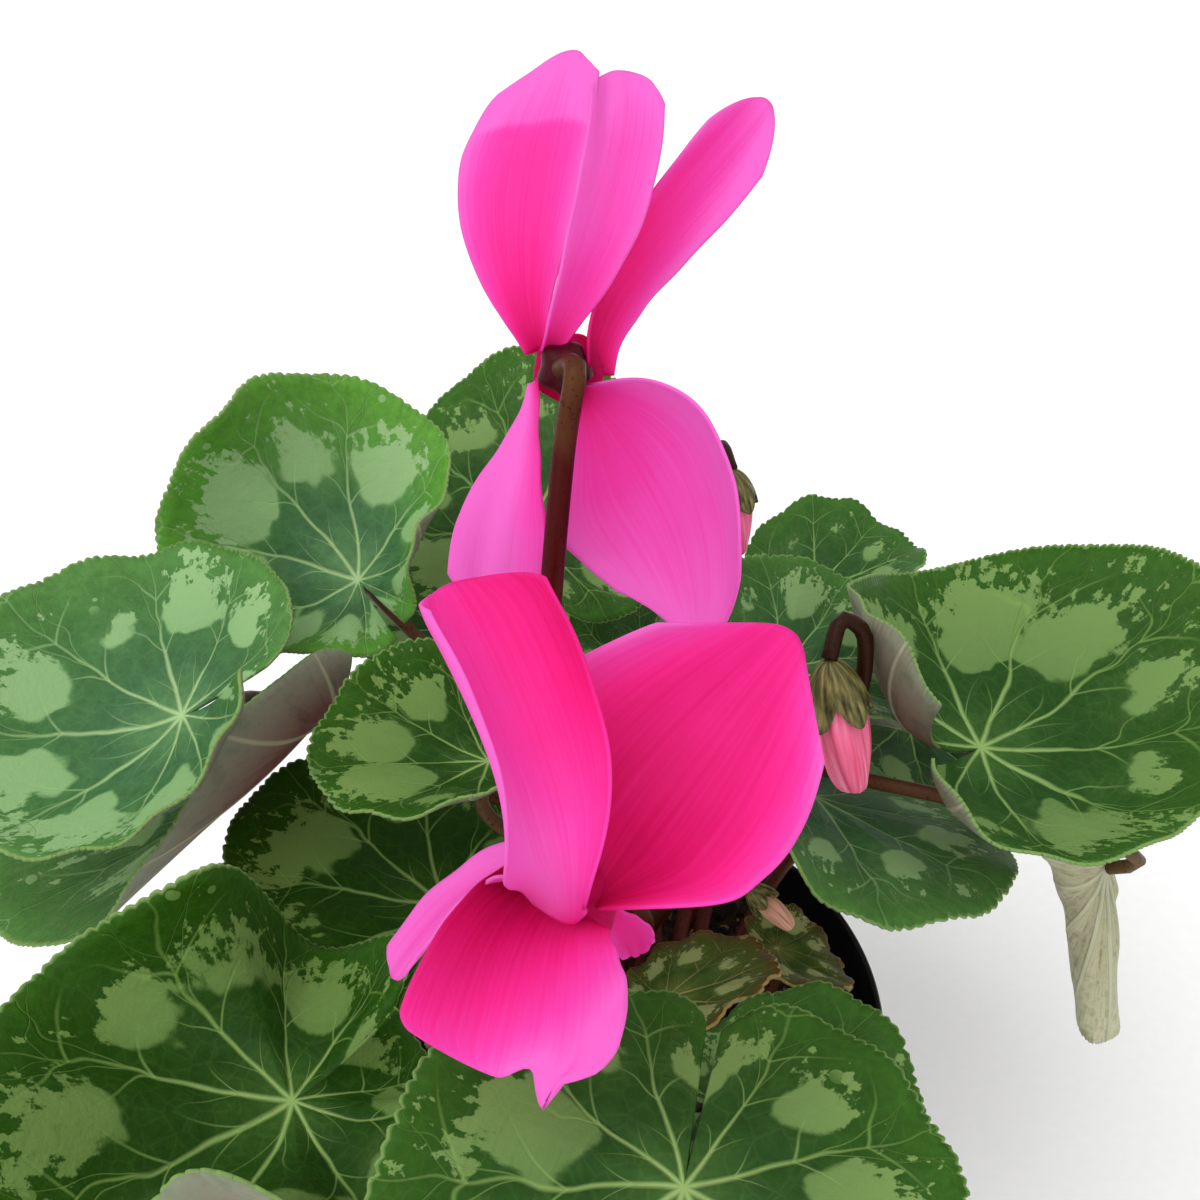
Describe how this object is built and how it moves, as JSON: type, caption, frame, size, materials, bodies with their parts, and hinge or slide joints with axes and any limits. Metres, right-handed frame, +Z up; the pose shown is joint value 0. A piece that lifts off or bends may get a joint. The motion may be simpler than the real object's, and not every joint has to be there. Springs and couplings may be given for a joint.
{
  "type": "potted flowering plant",
  "caption": "Potted cyclamen with silver-marbled heart-shaped leaves, bright pink swept-petal flowers and nodding buds in a plain black nursery pot.",
  "frame": {"origin": "middle of the flat foot of the pot", "axes": "+Z up out of the pot, -Y towards the side that the picture was taken from, +X to that viewer's right"},
  "size_m": [0.2492, 0.226, 0.2691],
  "materials": {
    "leaf": "matte marbled leaf",
    "young_leaf": "matte young leaf",
    "leaf_stalk": "smooth living stalk",
    "petal": "soft satin petal",
    "flower_stalk": "smooth living stalk",
    "calyx": "matte living calyx",
    "bud": "soft satin bud",
    "pale_bud": "soft satin bud",
    "pot_plastic": "moulded black plastic",
    "soil": "loose potting soil",
    "corm": "corky skin"
  },
  "bodies": {
    "root": {"leaf_back_left": "leaf", "stalk_back_left": "leaf_stalk", "leaf_left": "leaf", "stalk_left": "leaf_stalk", "leaf_left_folded": "leaf", "stalk_left_folded": "leaf_stalk", "leaf_front_left": "leaf", "stalk_front_left": "leaf_stalk", "leaf_low_left": "leaf", "stalk_low_left": "leaf_stalk", "leaf_mid_left": "leaf", "stalk_mid_left": "leaf_stalk", "leaf_back": "leaf", "stalk_back": "leaf_stalk", "leaf_behind_flower": "leaf", "stalk_behind_flower": "leaf_stalk", "leaf_back_right": "leaf", "stalk_back_right": "leaf_stalk", "leaf_mid_right": "leaf", "stalk_mid_right": "leaf_stalk", "leaf_right": "leaf", "stalk_right": "leaf_stalk", "leaf_low_right": "leaf", "stalk_low_right": "leaf_stalk", "leaf_hanging": "leaf", "stalk_hanging": "leaf_stalk", "leaf_young": "young_leaf", "stalk_young": "leaf_stalk", "leaf_youngest": "young_leaf", "stalk_youngest": "leaf_stalk", "leaf_front_right": "leaf", "stalk_front_right": "leaf_stalk", "leaf_front": "leaf", "stalk_front": "leaf_stalk", "leaf_under_back_left": "leaf", "stalk_under_back_left": "leaf_stalk", "leaf_far_back": "leaf", "stalk_far_back": "leaf_stalk", "leaf_far_right": "leaf", "stalk_far_right": "leaf_stalk", "flower_upper": "petal", "peduncle_upper": "flower_stalk", "flower_lower": "petal", "peduncle_lower": "flower_stalk", "bud_front": "bud", "calyx_front": "calyx", "peduncle_front": "flower_stalk", "bud_small": "pale_bud", "calyx_small": "calyx", "peduncle_small": "flower_stalk", "bud_rear": "bud", "calyx_rear": "calyx", "peduncle_rear": "flower_stalk", "pot": "pot_plastic", "soil": "soil", "corm": "corm"}
  },
  "joints": []
}
